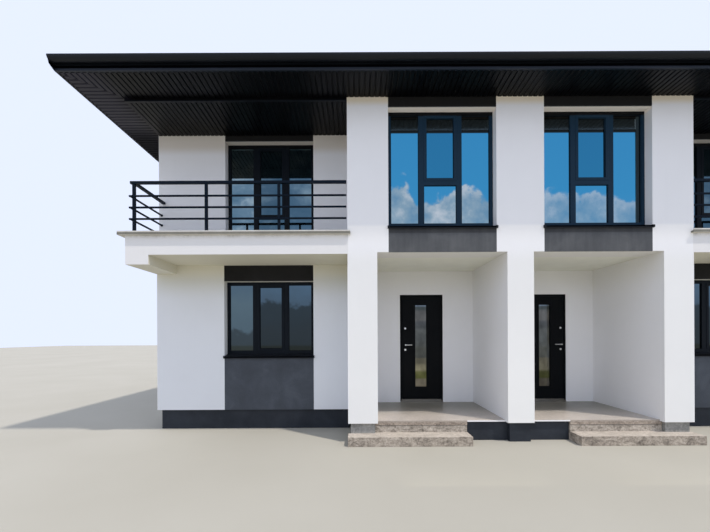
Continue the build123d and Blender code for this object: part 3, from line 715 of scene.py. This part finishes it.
def make_soffits():
    """Boards across the soffits, mitred at the corners, and along the balcony ceilings."""
    bm = bmesh.new()
    for outer, inner, wall, eave, to_plan in SIDES:
        outer, eave = outer - FASCIA, eave - FASCIA
        across = Vector(to_plan(1, 0))
        spans = board_spans(-inner, inner)
        for a, b in board_spans(inner, outer):
            spans += [(a, b), (-b, -a)]
        for a, b in spans:
            near = [wall + max(0.0, (abs(u) - inner) / (outer - inner)) * (eave - wall) for u in (a, b)]
            corners = [to_plan(a, near[0]), to_plan(b, near[1]), to_plan(b, eave), to_plan(a, eave)]
            board(bm, corners, across, SOFFIT)
        ring = [to_plan(-inner, wall), to_plan(inner, wall), to_plan(outer, eave), to_plan(-outer, eave)]
        prism(bm, ring, SOFFIT + BOARD_DEPTH, SOFFIT + 0.020)
    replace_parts(piece("soffit_boards", bm, "soffit_board"), "eave_soffits")

    bm, trim = bmesh.new(), bmesh.new()
    front = FRONT + 0.03
    top = BALCONY_CEILING + BOARD_DEPTH
    for sign in (-1, 1):
        x0, x1 = mirrored(sign, PIER_OUTER, HALF_WIDTH)
        box(bm, x0, x1, FRONT, UPPER_BAY_Y, top, WALL_TOP)
        for a, b in board_spans(x0, x1):
            corners = [(a, front), (b, front), (b, UPPER_BAY_Y), (a, UPPER_BAY_Y)]
            board(bm, corners, Vector((1, 0)), BALCONY_CEILING)
        box(bm, x0, x1, FRONT, front, BALCONY_CEILING, top)
        box(trim, x0, x1, FRONT - 0.004, FRONT + 0.025, BALCONY_CEILING - 0.002, top + 0.002)
    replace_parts(piece("balcony_ceiling_boards", bm, "soffit_board"), "balcony_ceilings")
    piece("balcony_ceiling_trims", trim, "eave_metal")


def eave_loop(inset, z):
    """A rectangle all round the eaves, set in from the fascia's outer face."""
    x, y = EAVE_X - inset, EAVE_Y - inset
    return [(-x, -y, z), (x, -y, z), (x, y, z), (-x, y, z)]


def make_fascias():
    bm = bmesh.new()
    profile = [(0.040, SOFFIT), (0.0, SOFFIT), (0.0, SOFFIT + 0.030), (0.005, SOFFIT + 0.036),
               (0.005, WALL_TOP - 0.020), (0.001, WALL_TOP - 0.014), (0.001, WALL_TOP + 0.030),
               (0.006, WALL_TOP + 0.034), (0.006, WALL_TOP), (0.025, WALL_TOP), (0.025, SOFFIT + 0.004)]
    profile.append(profile[0])
    skin(bm, [eave_loop(inset, z) for inset, z in profile], closed_ends=False)
    bmesh.ops.remove_doubles(bm, verts=bm.verts, dist=0.00001)
    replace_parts(piece("fascia_cladding", bm, "eave_metal"), "fascias")


def make_gutter_fittings():
    """Rolled beads, straps, end caps and joint sleeves of the two gutters."""
    radius, top = GUTTER_RADIUS, WALL_TOP - 0.015
    bm = bmesh.new()
    for side in (-1, 1):
        y = side * (EAVE_Y + radius)
        lip = side * (EAVE_Y + 2 * radius - 0.006)
        y0, y1 = sorted((side * EAVE_Y, lip))
        tube(bm, (-EAVE_X, lip, top - 0.001), (EAVE_X, lip, top - 0.001), 0.006, 12)
        straps = 22
        for i in range(straps):
            x = -EAVE_X + 0.30 + i * (2 * EAVE_X - 0.60) / (straps - 1)
            box(bm, x - 0.012, x + 0.012, y0, y1, top - 0.002, top + 0.001)
        for x in (-3.98, -1.33, 1.33, 3.98):
            angles = [math.pi + math.pi * i / 24 for i in range(25)]
            arc = [(y + side * radius * math.cos(a), top + radius * math.sin(a)) for a in angles]
            skin(bm, [[(edge, *point) for point in arc] for edge in (x - 0.05, x + 0.05)], closed_ends=False)
        outline = [(EAVE_Y + 0.122, top), (EAVE_Y + 0.085, 5.318), (EAVE_Y, SOFFIT + 0.001),
                   (EAVE_Y - 0.008, SOFFIT + 0.001), (EAVE_Y - 0.008, top)]
        for end in (-EAVE_X + 0.0005, EAVE_X - 0.0060):
            skin(bm, [[(x, side * out, z) for out, z in outline] for x in (end, end + 0.0055)])
    piece("gutter_fittings", bm, "eave_metal")


# Roof

def tile_slope(outer, eave, to_plan):
    """One slope of pressed metal tile, waved across and stepped up the roof, cut along its hips."""
    bm = bmesh.new()
    rows = round(EAVE_Y / TILE_ROW)
    steps = [(k + f) * EAVE_Y / rows for k in range(rows) for f in (0.0, 0.30, 0.985)]
    count = round(2 * outer / 0.0229)
    grid = []
    for t in steps:
        frac = (t / EAVE_Y * rows) % 1.0
        step = 0.016 * (1 - frac) if frac < 0.98 else 0.0
        line = []
        for i in range(count + 1):
            u = -outer + 2 * outer * i / count
            wave = 0.5 + 0.5 * math.cos(2 * math.pi * u / TILE_WAVE)
            x, y = to_plan(u, eave - t)
            line.append(bm.verts.new((x, y, WALL_TOP + t * PITCH + 0.006 + 0.020 * wave ** 1.5 + step)))
        grid.append(line)
    for below, above in zip(grid, grid[1:]):
        for i in range(count):
            bm.faces.new((below[i], below[i + 1], above[i + 1], above[i]))
    for end in (-1, 1):
        corner = Vector((*to_plan(end * outer, eave), 0))
        peak = Vector((*to_plan(end * (outer - EAVE_Y), eave - EAVE_Y), 0))
        run = (peak - corner).normalized()
        normal = Vector((run.y, -run.x, 0))
        inside = Vector((*to_plan(0, eave - 0.5), 0)) - corner
        if normal.dot(inside) > 0:
            normal = -normal
        geometry = bm.verts[:] + bm.edges[:] + bm.faces[:]
        bmesh.ops.bisect_plane(bm, geom=geometry, plane_co=corner, plane_no=normal, clear_outer=True)
    return bm


def capping(bm, start, end, fall):
    """Overlapping caps along a ridge or hip; fall is how steeply their sides drop."""
    start, end = Vector(start), Vector(end)
    along = end - start
    flat = Vector((along.x, along.y, 0)).normalized()
    side = Vector((-flat.y, flat.x, 0))
    count = max(1, round(along.length / CAP_LENGTH))
    thick = 0.003
    outline = [(0.125, 0.034), (0.105, 0.040), (0.060, 0.046), (0.030, 0.052), (0.0, 0.056)]
    outline = outline + [(-d, z) for d, z in outline[-2::-1]]
    for i in range(count):
        loops = []
        for share, lift in ((i / count, thick), ((i + 1) / count, 0.0)):
            centre = start + along * share
            upper = [centre + side * d + Vector((0, 0, z + lift - fall * abs(d))) for d, z in outline]
            loops.append(upper + [point - Vector((0, 0, thick)) for point in upper[::-1]])
        skin(bm, loops)


def make_roof():
    """Four slopes with capped ridge and hips."""
    names = ["roof_slope_front", "roof_slope_right", "roof_slope_back", "roof_slope_left"]
    for name, (outer, _, _, eave, to_plan) in zip(names, SIDES):
        bm = tile_slope(outer, eave, to_plan)
        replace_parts(piece(name.replace("slope", "tiles"), bm, "roof_metal"), name)

    bm = bmesh.new()
    ridge = EAVE_X - EAVE_Y
    peak_z = WALL_TOP + EAVE_Y * PITCH
    inset = 0.13
    capping(bm, (-ridge, 0, peak_z), (ridge, 0, peak_z), PITCH)
    for sx in (-1, 1):
        for sy in (-1, 1):
            corner = (sx * (EAVE_X - inset), sy * (EAVE_Y - inset), WALL_TOP + inset * PITCH)
            capping(bm, corner, (sx * ridge, 0, peak_z), PITCH * math.sqrt(0.5))
    piece("ridge_and_hip_caps", bm, "roof_metal")


# Windows

def grown(rect, by):
    """A rectangle x0, x1, z0, z1 made larger all round."""
    return (rect[0] - by, rect[1] + by, rect[2] - by, rect[3] + by)


def rect_ring(bm, outer, inner, y0, y1, c=0.003):
    """A rectangular ring in a wall plane, bevelled in front."""
    loops = []
    for (x0, x1, z0, z1), y in ((outer, y1), (outer, y0 + c), (grown(outer, -c), y0),
                                (grown(inner, c), y0), (inner, y0 + c), (inner, y1)):
        loops.append([(x0, y, z0), (x1, y, z0), (x1, y, z1), (x0, y, z1)])
    skin(bm, loops + [loops[0]], closed_ends=False)


def window_trim(bm, seals, x0, x1, face_y, z0, z1, light, transom_z, transom):
    """The sash's raised rim, the beads round each pane, their seals and the drain caps."""
    front = face_y + REVEAL
    glass = front + 0.023
    low, high = z0 + FRAME_FACE, z1 - FRAME_FACE
    left, right = x0 + FRAME_FACE, x1 - FRAME_FACE
    middle0, middle1 = left + light + MULLION, right - light - MULLION
    sash_low = low if transom_z is None else transom_z + transom
    lights = [(left, left + light, low, high), (right - light, right, low, high)]
    if transom_z is not None:
        lights.append((middle0, middle1, low, transom_z))
    sash = (middle0, middle1, sash_low, high)
    inner = grown(sash, -SASH)
    rect_ring(bm, grown(sash, 0.004), inner, front - 0.006, front + 0.004)
    for rect in lights + [inner]:
        rect_ring(bm, rect, grown(rect, -0.005), glass - 0.012, glass + 0.001, 0.0015)
        rect_ring(seals, grown(rect, -0.0045), grown(rect, -0.008), glass - 0.004, glass + 0.001, 0.001)
    for x in (left + light / 2, right - light / 2):
        box(bm, x - 0.018, x + 0.018, front - 0.004, front + 0.002, z0 + 0.018, z0 + 0.027)


def sill_trim(bm, x0, x1, face_y, z0):
    """The folded drip edge of a sill and its upturned ends."""
    front, top = face_y - 0.030, z0 + 0.0215
    box(bm, x0, x1, front, front + 0.002, z0 - 0.012, top)
    for x in (x0, x1):
        a, b = x - 0.014, x + 0.014
        y0, y1 = front - 0.002, face_y - 0.001
        low = z0 - 0.010
        skin(bm, [[(a, y0, low), (b, y0, low), (b, y1, low), (a, y1, low)],
                  [(a, y0, top + 0.008), (b, y0, top + 0.008), (b, y1, top + 0.015), (a, y1, top + 0.015)]])


TALL = dict(light=0.437, transom_z=3.990, transom=0.072)
BAY_UPPER = dict(light=0.414, transom_z=3.990, transom=0.072)
BAY_LOWER = dict(light=0.414, transom_z=None, transom=0.0)
BALCONY = dict(light=0.414, transom_z=3.787, transom=0.031)


def bay_pair(x0, face_y):
    """A low window and the tall one over it: left end, width, wall face, levels, kind, with a sill or not."""
    return [(x0, BAY_WIDTH, face_y, *LOW_WINDOW, BAY_LOWER, True),
            (x0, BAY_WIDTH, face_y, *TALL_WINDOW, BAY_UPPER, True)]


def make_windows():
    """Trim, seals and sills of all windows, set out as if on the front and turned to their wall."""
    groups = {
        "front": (0, [(0.364, 1.652, FRONT, *TALL_WINDOW, TALL, True),
                      (BAY_X0, BAY_WIDTH, FRONT + 0.860, *LOW_WINDOW, BAY_LOWER, True),
                      (BAY_X0, BAY_WIDTH, FRONT + 0.940, BALCONY_FLOOR, TALL_WINDOW[1], BALCONY, False)]),
        "back": (180, bay_pair(0.700, FRONT) + bay_pair(3.800, FRONT)),
        "side": (90, bay_pair(-BAY_WIDTH / 2, -HALF_WIDTH)),
    }
    for name, (turn, windows) in groups.items():
        bm, seals, sills = bmesh.new(), bmesh.new(), bmesh.new()
        for x0, width, face_y, z0, z1, kind, has_sill in windows:
            for start in (x0, -x0 - width) if name != "side" else (x0,):
                window_trim(bm, seals, start, start + width, face_y, z0, z1, **kind)
                if has_sill:
                    sill_trim(sills, start, start + width, face_y, z0 - SILL_BED)
        for part, title, slot in ((bm, "sash_trim", "frame_anthracite"), (seals, "seals", "door_paint"),
                                  (sills, "sill_sheets", "sill_metal")):
            bmesh.ops.transform(part, matrix=Matrix.Rotation(math.radians(turn), 4, "Z"), verts=part.verts)
            if name == "side":
                mirror = part.copy()
                bmesh.ops.transform(mirror, matrix=Matrix.Rotation(math.pi, 4, "Z"), verts=mirror.verts)
                piece(f"left_{title}", mirror, slot)
                piece(f"right_{title}", part, slot)
            else:
                piece(f"{name}_{title}", part, slot)


# Railings

def make_post(front, fittings, x):
    """A square post on a bolted base plate, with a clip for each rod."""
    box(front, x - POST_HALF, x + POST_HALF, RAIL_Y - POST_HALF, RAIL_Y + POST_HALF, BALCONY_FLOOR, RAIL_Z[0])
    box(fittings, x - PLATE_HALF, x + PLATE_HALF, RAIL_Y - PLATE_HALF, RAIL_Y + PLATE_HALF,
        BALCONY_FLOOR, PLATE_TOP, 0.002)
    for bolt_x in (x - BOLT_OFFSET, x + BOLT_OFFSET):
        for bolt_y in (RAIL_Y - BOLT_OFFSET, RAIL_Y + BOLT_OFFSET):
            tube(fittings, (bolt_x, bolt_y, PLATE_TOP), (bolt_x, bolt_y, PLATE_TOP + 0.008), 0.008, 6)
    for z in ROD_LEVELS:
        box(fittings, x - 0.012, x + 0.012, ROD_Y, RAIL_Y - POST_HALF + 0.002, z - 0.010, z + 0.010)


def make_railings():
    """Square posts and top rails with round rods outside them, their clips, base plates and flanges."""
    front, sides, fittings = bmesh.new(), bmesh.new(), bmesh.new()
    for sign in (-1, 1):
        x0, x1 = mirrored(sign, RAIL_INNER_END, CORNER_POST_X + 0.053)
        box(front, x0, x1, RAIL_Y - RAIL_HALF, RAIL_Y + RAIL_HALF, *RAIL_Z, 0.002)
        middle = sign * CORNER_POST_X
        box(sides, middle - RAIL_HALF, middle + RAIL_HALF, RAIL_Y + RAIL_HALF, UPPER_BAY_Y, *RAIL_Z, 0.002)
        for x in POSTS_X:
            make_post(front, fittings, sign * x)
        x = sign * ROD_X
        start, end = sign * RAIL_INNER_END, sign * (ROD_X + ROD_RADIUS)
        for z in ROD_LEVELS:
            tube(front, (start, ROD_Y, z), (end, ROD_Y, z), ROD_RADIUS, 20)
            tube(sides, (x, ROD_Y + 0.015, z), (x, UPPER_BAY_Y, z), ROD_RADIUS, 20)
            tube(fittings, (x, UPPER_BAY_Y - 0.0005, z), (x, UPPER_BAY_Y - 0.0045, z), 0.022, 20)
            tube(fittings, (middle, RAIL_Y, z), (x, RAIL_Y, z), 0.008, 12)
    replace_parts(piece("front_railing_bars", front, "railing_paint"), "front_railings")
    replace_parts(piece("side_railing_bars", sides, "railing_paint"), "side_railings")
    piece("railing_fittings", fittings, "railing_paint")


# Entrance doors

def make_doors():
    """Raised mouldings and a kick strip on each leaf, a frame round its pane, and covers on its locks."""
    face = DOOR_FACE
    for side, sign in (("left", -1), ("right", 1)):
        bm = bmesh.new()
        pane = (*mirrored(sign, *DOOR_PANE[:2]), *DOOR_PANE[2:])
        leaf = (*mirrored(sign, *DOOR_LEAF[:2]), *DOOR_LEAF[2:])
        rect_ring(bm, grown(pane, 0.026), grown(pane, -0.004), face - 0.006, face + 0.010)
        rect_ring(bm, grown(leaf, -0.060), grown(leaf, -0.066), face - 0.0012, face + 0.001, 0.0005)
        rect_ring(bm, grown(pane, 0.070), grown(pane, 0.064), face - 0.0012, face + 0.001, 0.0005)
        box(bm, leaf[0], leaf[1], face - 0.003, face + 0.001, leaf[2], leaf[2] + 0.012)
        piece(f"door_leaf_trim_{side}", bm, "door_paint", f"{side}_door")
        bm = bmesh.new()
        x = sign * LOCK_X
        for z in LOCK_LEVELS:
            tube(bm, (x, face - 0.008, z), (x, face - 0.0115, z), 0.019, 32)
            box(bm, x - 0.0022, x + 0.0022, face - 0.0122, face - 0.0110, z - 0.008, z + 0.008)
        piece(f"door_lock_covers_{side}", bm, "door_steel", f"{side}_door")


# Stone edges

def make_stone_edges():
    """Edge profiles round the balcony floors, split nosings and pale edges at the porches."""
    drips, nosings, edges = bmesh.new(), bmesh.new(), bmesh.new()
    y = FRONT - 0.050
    for sign in (-1, 1):
        x0, x1 = mirrored(sign, PIER_OUTER - 0.044, HALF_WIDTH + 0.094)
        box(drips, x0, x1, y + 0.0005, y + 0.010, COPING_SHADE[0], COPING_TOP)
        x0, x1 = mirrored(sign, HALF_WIDTH + 0.085, HALF_WIDTH + 0.0945)
        box(drips, x0, x1, y + 0.010, UPPER_BAY_Y, COPING_SHADE[0], COPING_TOP)
        x0, x1 = mirrored(sign, *STEP_X)
        box(nosings, x0, x1, *NOSING, 0.003)
        for a, b in zip((STEP_X[0], *STONE_JOINTS), (*STONE_JOINTS, STEP_X[1])):
            x0, x1 = mirrored(sign, a + 0.002, b - 0.002)
            box(nosings, x0, x1, *RISER_STONE, 0.002)
        x0, x1 = mirrored(sign, *PORCH_EDGE_X)
        box(edges, x0, x1, *PORCH_EDGE)
    piece("balcony_edge_profiles", drips, "balcony_coping")
    piece("step_nosings", nosings, "step_stone")
    piece("porch_edge_profiles", edges, "white_render")


make_soffits()
make_fascias()
make_gutter_fittings()
make_roof()
make_windows()
make_railings()
make_doors()
make_stone_edges()


# Floor, light and camera

def make_stage():
    """A plain pale floor just under the house."""
    bm = bmesh.new()
    size, level = 60.0, -0.002
    corners = ((-size, -size), (size, -size), (size, size), (-size, size))
    bm.faces.new([bm.verts.new((x, y, level)) for x, y in corners])
    mesh = bpy.data.meshes.new("studio_floor")
    bm.to_mesh(mesh)
    bm.free()
    floor = bpy.data.objects.new("studio_floor", mesh)
    bpy.context.scene.collection.objects.link(floor)
    s = Surface("studio_floor", Roughness=0.9, Specular_IOR_Level=0.1)
    s.color(s.spread(s.noise(0.4, 3), (0.425, 0.405, 0.345), (0.455, 0.435, 0.375)))
    mesh.materials.append(s.material)


def make_light(name, kind, energy, color, direction):
    data = bpy.data.lights.new(name, kind)
    data.energy = energy
    data.color = color
    made = bpy.data.objects.new(name, data)
    made.rotation_euler = Vector(direction).to_track_quat("-Z", "Y").to_euler()
    bpy.context.scene.collection.objects.link(made)
    return made


def make_lights():
    """Soft daylight all round, a high sun from the right, and light thrown back into the porches."""
    world = bpy.data.worlds.new("studio")
    bpy.context.scene.world = world
    world.use_nodes = True
    background = world.node_tree.nodes["Background"]
    background.inputs["Color"].default_value = (0.76, 0.83, 1.02, 1)
    background.inputs["Strength"].default_value = 1.08
    key = make_light("key", "SUN", 2.45, (1.0, 0.94, 0.87), (-0.38, 0.27, -0.885))
    key.data.angle = math.radians(2.0)
    for x in (-1.2, 1.2):
        bounce = make_light("porch_bounce", "AREA", 4.8, (1.0, 0.93, 0.74), (0, 0.75, 0.66))
        bounce.data.size = 1.6
        bounce.location = (x, -6.4, 0.15)
        bounce.visible_camera = False


def make_camera():
    """The photograph's view: street level, left of the middle, shifted upwards."""
    data = bpy.data.cameras.new("camera")
    data.sensor_width = 36.0
    data.lens = 18.0
    data.shift_x = -0.0028
    data.shift_y = 0.0986
    data.clip_end = 200.0
    camera = bpy.data.objects.new("camera", data)
    camera.location = (-2.505, -10.12, 1.634)
    camera.rotation_euler = (math.radians(90), 0.0046, 0)
    bpy.context.scene.collection.objects.link(camera)
    bpy.context.scene.camera = camera


make_stage()
make_lights()
make_camera()
bpy.context.scene.view_settings.view_transform = "Standard"
